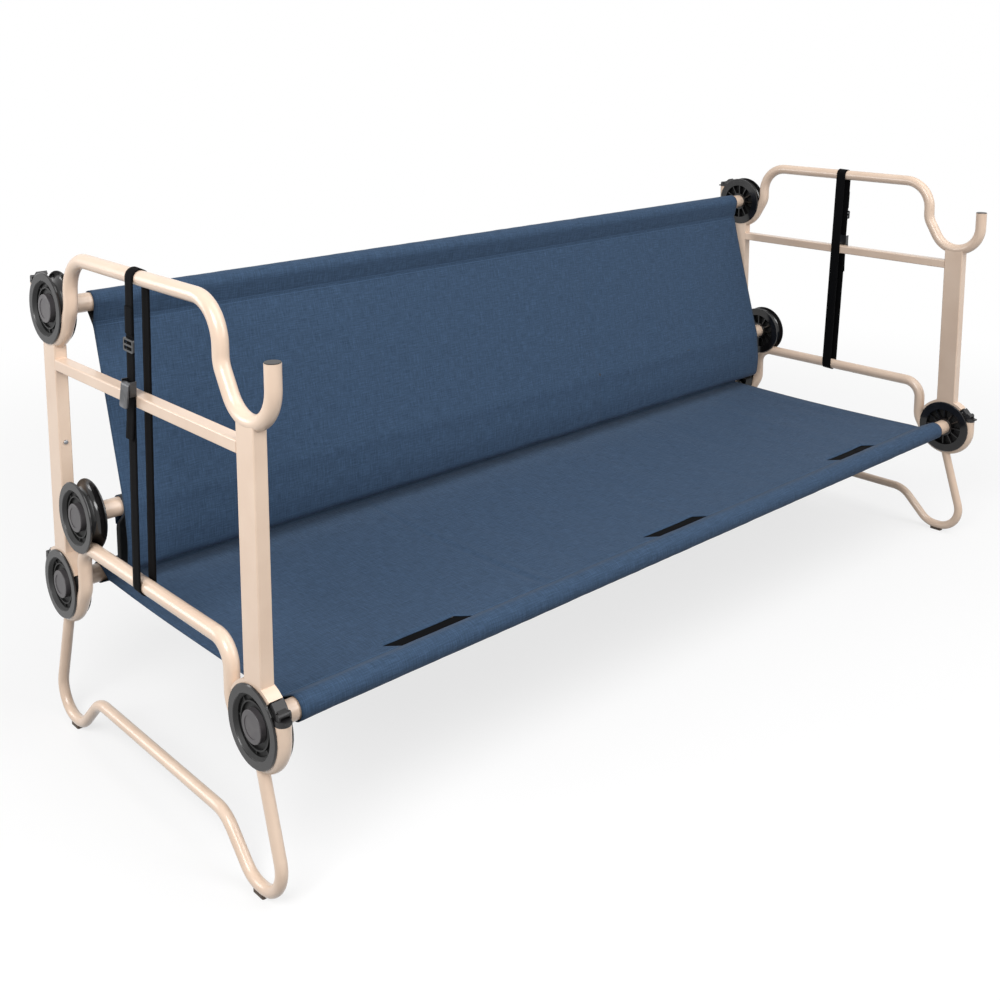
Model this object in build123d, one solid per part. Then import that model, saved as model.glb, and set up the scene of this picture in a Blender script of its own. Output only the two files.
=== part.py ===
from build123d import *
import math
import os
from typing import NamedTuple

# Bunk camping cot set up as a bench: two bent-tube end frames, an upper frame on posts at each
# end, four round rails that end in grooved discs, a seat deck and a hanging backrest deck.
# Millimetres. X runs along the cot, -Y is the front, +Z is up, the floor is Z = 0 and the
# origin is the middle of the floor area.

# Overall layout
end_plane_spacing = 2068.0
rail_spacing = 650.0
rail_height = 282.0
upper_cradle_rise = 520.0
low_back_rail_rise = 151.7
low_back_rail_gap = 56.2

# Rails
rail_dia = 35.0
rail_wall = 1.5
rail_insert_length = 14.0

# Bent frame tube with its two cradles
frame_dia = 25.4
frame_wall = 1.6
cradle_radius = 60.5
cradle_flare_deg = 60.0
cradle_leg_offset = 76.0
flare_bend_radius = 45.0
lower_bar_rise = 98.0
lower_bar_bend = 40.0
lower_tip_rise = 25.0
upper_bar_rise = 102.0
upper_bar_bend = 65.0
upper_tip_rise = 38.0

# Leg hoop under each end frame
leg_dia = 20.0
leg_wall = 1.5
leg_lean_deg = 17.0
foot_bend = 52.0
foot_flat = 8.0
foot_rise_deg = 45.0
hoop_bar_drop = 196.0
hoop_bar_bend = 60.0
pad_thickness = 3.0
pad_height = 5.0
pad_length = 28.0
pad_width = 15.0

# Posts, their saddles and the joint at mid height
post_depth = 46.7
post_width = 24.1
post_wall = 1.6
post_edge = 2.5
seam_rise = 257.0
crossbar_below_cradle = 16.9
crossbar_height = 20.0
saddle_outer = 70.0
saddle_inner = 56.3
saddle_wall = 2.4
saddle_width = 24.0
saddle_tip_deg = 38.5
saddle_root_deg = 60.0
spigot_play = 0.3
spigot_reach = 60.0

# Snap buttons in the posts
button_dia = 8.0
button_proud = 3.0
button_above_seam = 18.0
button_flange_dia = 12.0
button_flange = 1.2
button_play = 0.2
leaf_thickness = 0.8
leaf_width = 10.0
leaf_drop = 45.0
leaf_contact = 16.0

# Discs
disc_dia = 129.0
disc_width = 32.8
groove_play = 0.4
disc_rim_bore = 91.0
disc_face_bore = 101.0
disc_cone_depth = 6.5
disc_web = 4.4
disc_web_set = -5.4
disc_hub_dia = 45.0
disc_bore_depth = 22.4
disc_bore_play = 0.1
disc_edge = 1.4
disc_ribs = 12
disc_rib = 2.6
disc_rib_short = 3.4
face_ribs = 8
face_rib_height = 3.0
face_ring_dia = 76.0
face_ring_height = 5.0
face_ring_wall = 2.4
cap_dia = 52.0
cap_wall = 2.0
cap_edge = 1.4
cap_dish_dia = 36.0
cap_dish = 0.8
cap_floor_gap = 1.0
cap_play = 0.1
bolt_dia = 8.0
bolt_head_dia = 13.0
bolt_head_height = 3.6
bolt_length = 24.0
bolt_socket = 5.0
bolt_socket_depth = 2.2
bolt_play = 0.15

# Decks
cloth = 2.4
deck_end_gap = 42.6
backrest_shift = 9.0
sleeve_play = 0.3
seam_reach = 42.0
seat_sag = 8.0
slot_length = 160.0
slot_skew = 30.0
slot_width = 20.0
slot_pitch = 668.0
slot_shift = 3.0
slot_count = 3
slot_set = 1.0
webbing_width = 25.0
webbing_length = 226.0
webbing_thickness = 1.2
flap_lean_deg = 19.0

# Straps and their metalwork
strap_width = 25.0
strap_thickness = 1.6
strap_play = 1.0
strap_top_shift = -1.0
strap_foot_shift = 20.0
tail_drop = 86.0
tail_lap = 7.0
buckle_above_crossbar = 27.1
buckle_height = 25.0
buckle_base = 0.8
buckle_cheek = 1.5
buckle_pin_dia = 3.2
buckle_cheek_top = 3.2
lever_dia = 11.0
lever_length = 36.0
lever_thickness = 2.5
lever_corner = 3.8
lever_hang_deg = 6.0
slider_above_buckle = 66.0
slider_height = 22.0
slider_bar = 3.4
slider_rim = 3.2
small_play = 0.3

# Safety clips on the cradle tips
plug_depth = 15.0
plug_rim = 0.2
lower_collar = 9.0
upper_collar = 3.0
tab_reach = 18.0
tab_width = 12.0
tab_thickness = 3.0
clip_pivot_set = 2.5
clip_pivot_lift = 5.5
clip_ear_gap = 15.6
clip_ear = 3.0
clip_ear_radius = 4.6
clip_pin_dia = 3.0
clip_knuckle_dia = 8.6
clip_play = 1.2
clip_pad_width = 20.0
clip_pad_thickness = 6.8
clip_pad_arc_deg = 19.5
clip_neck_run = 9.0
clip_neck_dia = 6.4

weld_gap = 0.05
cut_over = 5.0

end_x = end_plane_spacing / 2
rail_y = rail_spacing / 2
upper_z = rail_height + upper_cradle_rise
post_inner_y = rail_y - post_depth / 2
low_back_y = post_inner_y - low_back_rail_gap
low_back_z = rail_height + low_back_rail_rise
disc_radius = disc_dia / 2
rail_radius = rail_dia / 2
frame_radius = frame_dia / 2
foot_z = pad_thickness + leg_dia / 2
crossbar_rise = (
    upper_cradle_rise - cradle_radius - frame_radius - crossbar_below_cradle - crossbar_height / 2
)
buckle_rise = crossbar_rise + buckle_above_crossbar
slider_rise = buckle_rise + slider_above_buckle
deck_half_length = end_x - disc_width / 2 - deck_end_gap
disc_hub_set = cap_wall + small_play + bolt_head_height - disc_width / 2
clip_pivot_out = cradle_radius + clip_pivot_set
ends = {"left": -1, "right": 1}
sides = {"front": -1, "back": 1}
RAILS = {
    "seat_front": (-rail_y, rail_height),
    "seat_back": (rail_y, rail_height),
    "backrest_top": (rail_y, upper_z),
    "backrest_low": (low_back_y, low_back_z),
}


def unit(a, b):
    """Direction from one (y, z) point to another."""
    length = math.dist(a, b)
    return ((b[0] - a[0]) / length, (b[1] - a[1]) / length)


def bent_path(corners, bends, x):
    """Straight runs joined by tangent arcs through (y, z) corners, in the plane at x."""
    edges = []
    at = corners[0]
    for before, corner, after, bend in zip(corners, corners[1:], corners[2:], bends):
        way_in = unit(before, corner)
        way_out = unit(corner, after)
        turn = math.acos(way_in[0] * way_out[0] + way_in[1] * way_out[1])
        back = bend * math.tan(turn / 2)
        start = (corner[0] - back * way_in[0], corner[1] - back * way_in[1])
        stop = (corner[0] + back * way_out[0], corner[1] + back * way_out[1])
        if math.dist(at, start) > weld_gap:
            edges.append(Edge.make_line((x, *at), (x, *start)))
        edges.append(Edge.make_tangent_arc((x, *start), (0, *way_in), (x, *stop)))
        at = stop
    edges.append(Edge.make_line((x, *at), (x, *corners[-1])))
    return Wire(edges)


def swept_tube(path, dia, wall=0):
    """Round tube along a path, or a solid bar if no wall is given."""
    face = Circle(dia / 2)
    if wall:
        face -= Circle(dia / 2 - wall)
    return sweep(Plane(origin=path @ 0, z_dir=path % 0) * face, path=path)


def bar(x, y, z, size_x, size_y, size_z):
    """Box centred at x, y and z."""
    return Pos(x, y, z) * Box(size_x, size_y, size_z)


def round_x(x, y, z, dia, length):
    """Round bar along X, centred at x, y and z."""
    return Pos(x, y, z) * Rot(0, 90, 0) * Cylinder(dia / 2, length)


def hook_corners(side, z, tip_rise, bar_rise):
    """Corners of one cradle, from its free tip to the raised bar."""
    flare = math.radians(cradle_flare_deg)
    y = side * rail_y
    low = z - cradle_radius
    reach = cradle_radius * math.tan(flare / 2)
    climb = (cradle_leg_offset - reach) * math.tan(flare)
    return [
        (y + side * cradle_radius, z + tip_rise),
        (y + side * cradle_radius, low),
        (y - side * reach, low),
        (y - side * cradle_leg_offset, low + climb),
        (y - side * cradle_leg_offset, z + bar_rise),
    ]


def frame_path(x, z, tip_rise, bar_rise, bar_bend):
    """Centreline of an end frame: cradle, raised bar, cradle."""
    front = hook_corners(-1, z, tip_rise, bar_rise)
    back = hook_corners(1, z, tip_rise, bar_rise)
    bends = [cradle_radius, cradle_radius, flare_bend_radius, bar_bend]
    return bent_path(front + back[::-1], bends + bends[::-1], x)


def lower_path(x):
    """Centreline of a lower end frame."""
    return frame_path(x, rail_height, lower_tip_rise, lower_bar_rise, lower_bar_bend)


def upper_path(x):
    """Centreline of an upper end frame."""
    return frame_path(x, upper_z, upper_tip_rise, upper_bar_rise, upper_bar_bend)


def hoop_path(x):
    """Centreline of a leg hoop: leg, foot, low crossbar, foot, leg."""
    lean = math.radians(leg_lean_deg)
    rise = math.radians(foot_rise_deg)
    top = rail_height - cradle_radius
    hoop_z = rail_height - hoop_bar_drop
    outer = rail_y + (top - foot_z) * math.tan(lean)
    inner = outer - foot_bend * (math.tan((math.pi / 2 + lean) / 2) + math.tan(rise / 2))
    inner -= foot_flat
    shoulder = inner - (hoop_z - foot_z) / math.tan(rise)
    half = [(rail_y, top), (outer, foot_z), (inner, foot_z), (shoulder, hoop_z)]
    bends = [foot_bend, foot_bend, hoop_bar_bend]
    front = [(-y, z) for y, z in half]
    return bent_path(front + half[::-1], bends + bends[::-1], x)


def foot_centre():
    """Distance of a foot's lowest stretch from the middle plane."""
    lean = math.radians(leg_lean_deg)
    outer = rail_y + (rail_height - cradle_radius - foot_z) * math.tan(lean)
    return outer - foot_bend * math.tan((math.pi / 2 + lean) / 2) - foot_flat / 2


def lower_frame(end):
    """Bent tube that carries the seat rails in its two cradles."""
    return swept_tube(lower_path(end * end_x), frame_dia, frame_wall)


def leg_hoop(end):
    """Bent leg tube, coped to the undersides of both cradles."""
    x = end * end_x
    hoop = swept_tube(hoop_path(x), leg_dia, leg_wall)
    return hoop - swept_tube(lower_path(x), frame_dia + 2 * weld_gap)


def foot_pads():
    """Rubber pads under the four feet, hollowed to the tube they carry."""
    pads = []
    for end in ends.values():
        x = end * end_x
        tube = swept_tube(hoop_path(x), leg_dia + 2 * weld_gap)
        for side in sides.values():
            y = side * foot_centre()
            pad = bar(x, y, pad_height / 2, pad_width, pad_length, pad_height)
            pads.append(fillet(pad.edges().filter_by(Axis.Z), pad_thickness) - tube)
    return pads


def post_tube(x, y, low, high):
    """Upright rectangular tube."""
    size = (post_width, post_depth)
    face = RectangleRounded(*size, post_edge)
    face -= RectangleRounded(*[s - 2 * post_wall for s in size], post_edge - post_wall)
    return extrude(Pos(x, y, low) * face, high - low)


def lower_post(end, side):
    """Post from its saddle up to the seam."""
    x = end * end_x
    y = side * rail_y
    post = post_tube(x, y, rail_height + saddle_inner, rail_height + seam_rise)
    seat = 2 * (saddle_outer + weld_gap)
    return post - round_x(x, y, rail_height, seat, post_width + 2 * cut_over)


def button_spot(end, side):
    """Centre of a button's hole in the inward face of an upper post."""
    y = side * (rail_y - post_depth / 2)
    return (end * end_x, y, rail_height + seam_rise + button_above_seam)


def upper_post(end, side):
    """Post from the seam up to the cradle that it carries."""
    x = end * end_x
    y = side * rail_y
    top = upper_z - cradle_radius - weld_gap
    post = post_tube(x, y, rail_height + seam_rise, top)
    post -= swept_tube(upper_path(x), frame_dia + 2 * weld_gap)
    hole = Rot(90, 0, 0) * Cylinder(button_dia / 2 + button_play, 4 * post_wall)
    return post - Pos(*button_spot(end, side)) * hole


def saddle(end, side):
    """Formed channel that sits in a disc's groove and is welded under the post."""
    x = end * end_x
    y = side * rail_y
    mid = (saddle_outer + saddle_inner) / 2
    face = Pos(0, mid) * Rectangle(saddle_width, saddle_outer - saddle_inner)
    hollow = Rectangle(saddle_width - 2 * saddle_wall, saddle_outer - saddle_inner)
    face -= Pos(0, mid - saddle_wall) * hollow
    plane = Plane(origin=(x, y, rail_height), x_dir=(1, 0, 0), z_dir=(0, -1, 0))
    hub = Axis((x, y, rail_height), (1, 0, 0))
    arc = saddle_tip_deg + saddle_root_deg
    start = -saddle_root_deg if side < 0 else -saddle_tip_deg
    return revolve(plane * face, hub, arc).rotate(hub, start)


def spigot(end, side):
    """Tube riveted in the lower post that the upper post slides over."""
    inset = 2 * (post_wall + spigot_play)
    size = (post_width - inset, post_depth - inset)
    face = RectangleRounded(*size, post_wall)
    face -= Rectangle(*[s - 2 * post_wall for s in size])
    z = rail_height + seam_rise - spigot_reach
    body = extrude(Pos(end * end_x, side * rail_y, z) * face, 2 * spigot_reach)
    hole = Rot(90, 0, 0) * Cylinder(button_dia / 2 + button_play, 8 * post_wall)
    return body - Pos(*button_spot(end, side)) * hole


def snap_button(end, side):
    """Spring-loaded button that locks the upper post to the spigot."""
    x, y, z = button_spot(end, side)
    depth = 2 * post_wall + spigot_play + button_play
    length = depth + button_proud
    stem = Cylinder(button_dia / 2, length, align=(Align.CENTER, Align.CENTER, Align.MIN))
    stem = fillet(stem.edges().group_by(Axis.Z)[-1], button_dia / 4)
    low = (Align.CENTER, Align.CENTER, Align.MAX)
    body = Pos(0, 0, -depth) * (stem + Cylinder(button_flange_dia / 2, button_flange, align=low))
    return Pos(x, y, z) * Rot(side * 90, 0, 0) * body


def button_leaf(end, side):
    """Folded leaf spring behind a snap button."""
    x, y, z = button_spot(end, side)
    inset = 2 * post_wall + spigot_play
    near = inset + button_play + button_flange + small_play
    far = post_depth - inset - small_play
    fold = (near + far) / 2
    half = leaf_contact / 2
    points = [(near, half), (near, -half), (fold, -leaf_drop), (far, -half), (far, half)]
    line = [(y + side * d, z + h) for d, h in points]
    inner = [(near + leaf_thickness, half), (near + leaf_thickness, -half)]
    inner += [(fold, -leaf_drop + 4 * leaf_thickness)]
    inner += [(far - leaf_thickness, -half), (far - leaf_thickness, half)]
    line += [(y + side * d, z + h) for d, h in inner[::-1]]
    face = make_face(Polyline([(x, *p) for p in line], close=True))
    return extrude(face, leaf_width / 2, dir=(1, 0, 0), both=True)


def crossbar(end):
    """Rectangular tube between the upper posts."""
    size = (post_width, crossbar_height)
    face = RectangleRounded(*size, post_edge)
    face -= RectangleRounded(*[s - 2 * post_wall for s in size], post_edge - post_wall)
    plane = Plane(
        origin=(end * end_x, -post_inner_y, rail_height + crossbar_rise),
        x_dir=(1, 0, 0),
        z_dir=(0, 1, 0),
    )
    return extrude(plane * face, 2 * post_inner_y)


def upper_frame(end):
    """Bent tube with the upper cradles and the top bar."""
    return swept_tube(upper_path(end * end_x), frame_dia, frame_wall)


def along(face_set, length, dia):
    """Ring or round bar on the disc axis, from face_set inwards."""
    low = (Align.CENTER, Align.CENTER, Align.MIN)
    return Pos(0, 0, face_set) * Cylinder(dia / 2, length, align=low)


def disc():
    """Grooved disc on its own axis: -Z is the outer face, +Z takes the rail."""
    half = disc_width / 2
    rim = chamfer(Cylinder(disc_radius, disc_width).edges(), disc_edge)
    rim -= Cylinder(disc_rim_bore / 2, disc_width)
    low = (Align.CENTER, Align.CENTER, Align.MIN)
    mouth = Cone(disc_face_bore / 2, disc_rim_bore / 2, disc_cone_depth, align=low)
    rim -= Pos(0, 0, -half) * mouth
    groove = frame_radius + groove_play
    rim -= Torus(cradle_radius, groove)
    rim -= Cylinder(disc_dia, 2 * groove) - Cylinder(cradle_radius, 2 * groove)
    body = rim + along(disc_web_set, disc_web, disc_rim_bore + disc_edge)
    body += along(disc_hub_set, half - disc_hub_set, disc_hub_dia)
    floor = disc_web_set + disc_web
    reach = (disc_rim_bore - disc_hub_dia) / 2 + disc_edge
    middle = (disc_rim_bore + disc_hub_dia) / 4
    tall = half - disc_rib_short - floor
    for turn in range(disc_ribs):
        rib = Pos(middle, 0, floor + tall / 2) * Box(reach, disc_rib, tall)
        body += Rot(0, 0, turn * 360 / disc_ribs) * rib
    ring = along(disc_web_set - face_ring_height, face_ring_height, face_ring_dia)
    body += ring - along(-half, disc_width, face_ring_dia - 2 * face_ring_wall)
    run = (disc_rim_bore - face_ring_dia) / 2 + disc_edge
    out = (disc_rim_bore + face_ring_dia) / 4
    for turn in range(face_ribs):
        rib = Pos(out, 0, disc_web_set - face_rib_height / 2) * Box(run, disc_rib, face_rib_height)
        body += Rot(0, 0, turn * 360 / face_ribs) * rib
    body -= along(half - disc_bore_depth, disc_bore_depth, rail_dia + 2 * disc_bore_play)
    return body - along(disc_hub_set, half - disc_hub_set, bolt_dia + 2 * bolt_play)


def hub_cap():
    """Press-on cap over the hub and its bolt, flush with the disc and slightly dished."""
    top = -disc_width / 2
    deep = disc_web_set - cap_floor_gap - top
    cap = along(top, deep, cap_dia)
    cap = fillet(cap.edges().group_by(Axis.Z)[0], cap_edge)
    cap -= along(top, cap_dish, cap_dish_dia)
    return cap - along(top + cap_wall, deep, disc_hub_dia + 2 * cap_play)


def hub_bolt():
    """Low-head bolt that holds a disc to the end of its rail."""
    low = (Align.CENTER, Align.CENTER, Align.MIN)
    head = along(disc_hub_set - bolt_head_height, bolt_head_height, bolt_head_dia)
    socket = extrude(RegularPolygon(bolt_socket / 2, 6), bolt_socket_depth)
    head -= Pos(0, 0, disc_hub_set - bolt_head_height) * socket
    return head + Pos(0, 0, disc_hub_set) * Cylinder(bolt_dia / 2, bolt_length, align=low)


def at_end(shape, end, y, z):
    """Carries a piece drawn on the disc axis to one end of a rail."""
    return Pos(end * end_x, y, z) * Rot(0, -end * 90, 0) * shape


def rail(y, z):
    """Round rail with a threaded insert welded in each end."""
    reach = end_x + disc_bore_depth - disc_width / 2 - disc_bore_play
    tube = round_x(0, y, z, rail_dia, 2 * reach)
    tube -= round_x(0, y, z, rail_dia - 2 * rail_wall, 2 * (reach - rail_insert_length))
    return tube - round_x(0, y, z, bolt_dia + 2 * bolt_play, 2 * reach + 2 * cut_over)


def teardrop(radius, reach, direction):
    """Face of a sleeve round a rail, drawn out to its seam along direction in degrees."""
    spread = math.acos(radius / reach)
    tangents = [(radius * math.cos(s), radius * math.sin(s)) for s in (spread, -spread)]
    tip = [tangents[0], (reach, 0), tangents[1], (0, 0)]
    return Rot(0, 0, direction) * (Circle(radius) + make_face(Polyline(tip, close=True)))


def sleeve(y, z, direction):
    """Sleeve face round a rail, in the YZ plane."""
    inner = rail_radius + sleeve_play
    hollow = seam_reach - cloth * inner / (inner + cloth)
    face = teardrop(inner + cloth, seam_reach, direction) - teardrop(inner, hollow, direction)
    return Pos(y, z) * face


def yz(face):
    """Lays a face drawn in (y, z) on the YZ plane."""
    return Plane(origin=(0, 0, 0), x_dir=(0, 1, 0), z_dir=(1, 0, 0)) * face


def slot_cutter():
    """Slanted slot through the cloth: its front edge is set off along X from its back edge."""
    half = slot_length / 2
    skew = slot_skew / 2
    wide = slot_width / 2
    corners = [(skew - half, -wide), (skew + half, -wide), (half - skew, wide), (-skew - half, wide)]
    return extrude(make_face(Polyline(corners, close=True)), cloth + seat_sag, both=True)


def slot_places():
    """Middles of the seat's slots along X."""
    first = slot_shift - slot_pitch * (slot_count - 1) / 2
    return [first + slot_pitch * k for k in range(slot_count)]


def sagging_strip(front, back, low, high):
    """Curved strip face between two Y places, following the seat's sag."""
    span = rail_y - seam_reach

    def sag(y):
        return -seat_sag * (1 - (y / span) ** 2)

    middle = (front + back) / 2
    tops = [(front, high + sag(front)), (middle, high + sag(middle)), (back, high + sag(back))]
    lows = [(back, low + sag(back)), (middle, low + sag(middle)), (front, low + sag(front))]
    outline = [
        ThreePointArc(*tops),
        Line(tops[-1], lows[0]),
        ThreePointArc(*lows),
        Line(lows[-1], tops[0]),
    ]
    return Pos(0, rail_height) * make_face(outline)


def seat_deck():
    """Seat cloth: two sleeves and the panel between their seams, with slots at the front."""
    span = rail_y - seam_reach + cloth
    panel = yz(sagging_strip(-span, span, -cloth / 2, cloth / 2))
    deck = extrude(panel, deck_half_length, both=True)
    for side, direction in ((-1, 0), (1, 180)):
        face = yz(sleeve(side * rail_y, rail_height, direction))
        deck += extrude(face, deck_half_length, both=True)
    y = -rail_y + seam_reach + slot_set + slot_width / 2
    for x in slot_places():
        deck -= Pos(x, y, rail_height) * slot_cutter()
    return deck


def seat_webbing():
    """Black webbing sewn under each slot."""
    front = -rail_y + seam_reach + slot_set + (slot_width - webbing_width) / 2
    high = -cloth / 2 - weld_gap
    face = sagging_strip(front, front + webbing_width, high - webbing_thickness, high)
    strip = extrude(yz(face), webbing_length / 2, both=True)
    return [Pos(x, 0, 0) * strip for x in slot_places()]


def backrest_deck():
    """Backrest cloth: hangs from the top rail in front of the low rail, then turns up to it."""
    half = cloth / 2
    inner = rail_radius + sleeve_play
    front = low_back_y - inner - cloth - sleeve_play - half
    knee = (front, low_back_z)
    hang = unit((rail_y, upper_z), knee)
    seam = (rail_y + seam_reach * hang[0], upper_z + seam_reach * hang[1])
    lean = math.radians(flap_lean_deg)
    tip_y = low_back_y + seam_reach * math.sin(lean)
    tip_z = low_back_z - seam_reach * math.cos(lean)
    fold_radius = (tip_y - front) / 2
    cut = rail_spacing - 2 * seam_reach
    spare = cut - math.dist(seam, knee) - math.pi * fold_radius
    fold_z = (low_back_z + tip_z - spare) / 2
    start = (seam[0] - cloth * hang[0], seam[1] - cloth * hang[1])
    steps = [
        (start, knee),
        (knee, (front, fold_z)),
        ((tip_y, fold_z), (tip_y, tip_z + cloth)),
    ]
    faces = Sketch()
    for a, b in steps:
        way = unit(a, b)
        across = (-way[1] * half, way[0] * half)
        corners = [
            (a[0] + across[0], a[1] + across[1]),
            (b[0] + across[0], b[1] + across[1]),
            (b[0] - across[0], b[1] - across[1]),
            (a[0] - across[0], a[1] - across[1]),
        ]
        faces += make_face(Polyline(corners, close=True))
    faces += Pos(*knee) * Circle(half)
    ring = Circle(fold_radius + half) - Circle(fold_radius - half)
    below = Pos(0, -fold_radius) * Rectangle(4 * fold_radius, 2 * fold_radius)
    faces += Pos((front + tip_y) / 2, fold_z) * (ring & below)
    deck = extrude(yz(faces), deck_half_length, both=True)
    hang_deg = math.degrees(math.atan2(hang[1], hang[0]))
    flap_deg = math.degrees(math.atan2(tip_z - low_back_z, tip_y - low_back_y))
    for y, z, direction in (
        (rail_y, upper_z, hang_deg),
        (low_back_y, low_back_z, flap_deg),
    ):
        deck += extrude(yz(sleeve(y, z, direction)), deck_half_length, both=True)
    return Pos(backrest_shift, 0, 0) * deck


def strap_run():
    """Length of the strap between its two bars, and its turn about X."""
    drop = upper_cradle_rise + upper_bar_rise - lower_bar_rise
    shift = strap_foot_shift - strap_top_shift
    return math.hypot(shift, drop), math.degrees(math.atan2(shift, drop))


def on_strap(shape):
    """Carries a piece drawn upright in the strap's own frame to its leaning place."""
    z = rail_height + upper_cradle_rise + upper_bar_rise
    return Pos(0, strap_top_shift, z) * Rot(strap_run()[1], 0, 0) * Pos(0, 0, -z) * shape


def strap(end):
    """Webbing loop round the top bar and the lower bar, with its loose tail."""
    x = end * end_x
    high = upper_z + upper_bar_rise
    low = high - strap_run()[0]
    inner = frame_radius + strap_play
    outer = inner + strap_thickness
    middle = (low + high) / 2
    tall = high - low

    def band(radius):
        face = Pos(x, middle) * Rectangle(2 * radius, tall)
        return face + Pos(x, high) * Circle(radius) + Pos(x, low) * Circle(radius)

    plane = Plane(origin=(0, 0, 0), x_dir=(1, 0, 0), z_dir=(0, -1, 0))
    loop = extrude(plane * (band(outer) - band(inner)), strap_width / 2, both=True)
    top = rail_height + buckle_rise - lever_dia / 2 - small_play
    tail_x = x + end * (outer + strap_thickness / 2 + small_play)
    lap_x = x + end * (outer + (strap_thickness + small_play) / 2)
    size = (strap_thickness, strap_width)
    tail = bar(tail_x, 0, top - tail_drop / 2, *size, tail_drop)
    lap = bar(lap_x, 0, top - tail_lap / 2, strap_thickness + small_play, strap_width, tail_lap)
    return on_strap(loop + tail + lap)


def strap_face():
    """Distance of the strap's outer surface from the end plane."""
    return frame_radius + strap_play + strap_thickness


def lever_axis(end):
    """Place of a buckle lever's pin in the strap's own frame."""
    out = strap_face() + small_play + lever_dia / 2
    return (end * (end_x + out), rail_height + buckle_rise)


def cam_buckle(end):
    """Folded steel buckle body with its pin."""
    x, z = lever_axis(end)
    inside = strap_face() - strap_thickness
    base_x = end * (end_x + inside - buckle_base / 2 - small_play / 2)
    width = strap_width + 2 * small_play + 2 * buckle_cheek
    low = z + lever_dia / 2 + buckle_cheek_top - buckle_height / 2
    base = bar(base_x, 0, low, buckle_base, width, buckle_height)
    inner_x = base_x - end * buckle_base / 2
    cheek_reach = abs(x - inner_x) + buckle_pin_dia / 2 + buckle_cheek
    body = base
    for side in sides.values():
        y = side * (width - buckle_cheek) / 2
        cheek_x = inner_x + end * cheek_reach / 2
        body += bar(cheek_x, y, low, cheek_reach, buckle_cheek, buckle_height)
    pin = Pos(x, 0, z) * Rot(90, 0, 0) * Cylinder(buckle_pin_dia / 2, width)
    return on_strap(body + pin)


def cam_lever(end):
    """Lever with its round cam, hanging over the strap's tail."""
    x, z = lever_axis(end)
    turn = Pos(x, 0, z) * Rot(90, 0, 0)
    cam = Cylinder(lever_dia / 2, strap_width)
    blade_x = (lever_dia - lever_thickness) / 2
    blade = Pos(end * blade_x, 0, 0) * Box(lever_thickness, strap_width, lever_length)
    blade = Pos(0, 0, -lever_length / 2) * blade
    blade = fillet(blade.edges().filter_by(Axis.X).group_by(Axis.Z)[0], lever_corner)
    body = turn * cam + Pos(x, 0, z) * Rot(0, -end * lever_hang_deg, 0) * blade
    hole = Cylinder(buckle_pin_dia / 2 + button_play / 2, 2 * strap_width)
    return on_strap(body - turn * hole)


def strap_slider(end):
    """Two-slot slider on the strap."""
    x = end * (end_x + strap_face() + small_play + slider_rim / 2)
    z = rail_height + slider_rise
    width = strap_width + 2 * slider_rim + 2 * small_play
    body = bar(x, 0, z, slider_rim, width, slider_height)
    body = fillet(body.edges().filter_by(Axis.X), slider_rim)
    gap = (slider_height - 3 * slider_bar) / 2
    for up in (-1, 1):
        slot = bar(x, 0, z + up * (gap + slider_bar) / 2, 2 * slider_rim, strap_width, gap)
        body -= slot
    return on_strap(body)


class Cradle(NamedTuple):
    """A cradle with a clip. Nothing stands over its disc from clear_deg off upright."""

    end: int
    side: int
    height: float
    tip_rise: float
    collar: float
    clear_deg: float


def clip_cradles():
    """Every cradle with a clip: the lower four and the upper two that hold a disc."""
    cradles = {}
    for end_name, end in ends.items():
        cradles[f"top_{end_name}"] = Cradle(end, 1, upper_z, upper_tip_rise, upper_collar, 0)
        for side_name, side in sides.items():
            lower = Cradle(end, side, rail_height, lower_tip_rise, lower_collar, saddle_tip_deg)
            cradles[f"{side_name}_{end_name}"] = lower
    return cradles


def clip_pivot(cradle):
    """Centre of a clip's trunnion, over the collar in the cradle's tip."""
    z = cradle.height + cradle.tip_rise + cradle.collar + clip_pivot_lift
    return (cradle.end * end_x, cradle.side * (rail_y + clip_pivot_out), z)


def clip_socket(cradle):
    """Plug and collar in a cradle's open tip, with a thumb tab and two ears for the clip."""
    x, pivot_y, pivot_z = clip_pivot(cradle)
    y = cradle.side * (rail_y + cradle_radius)
    low = cradle.height + cradle.tip_rise
    top = low + cradle.collar
    bore = frame_radius - frame_wall - weld_gap
    body = Pos(x, y, low - plug_depth / 2) * Cylinder(bore, plug_depth)
    body += Pos(x, y, low + cradle.collar / 2) * Cylinder(frame_radius + plug_rim, cradle.collar)
    tab_y = y + cradle.side * tab_reach / 2
    tab = bar(x, tab_y, top - tab_thickness / 2, tab_width, tab_reach, tab_thickness)
    outer = tab.edges().filter_by(Axis.Z).sort_by(Axis.Y)
    body += fillet(outer[2:] if cradle.side > 0 else outer[:2], tab_width / 4)
    for way in (-1, 1):
        ear_x = x + way * (clip_ear_gap + clip_ear) / 2
        ear = round_x(ear_x, pivot_y, pivot_z, 2 * clip_ear_radius, clip_ear)
        stand = pivot_z - top + tab_thickness / 2
        ear += bar(ear_x, pivot_y, pivot_z - stand / 2, clip_ear, 2 * clip_ear_radius, stand)
        body += ear
    return body - round_x(x, pivot_y, pivot_z, clip_pin_dia + button_play, 2 * clip_pad_width)


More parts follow.
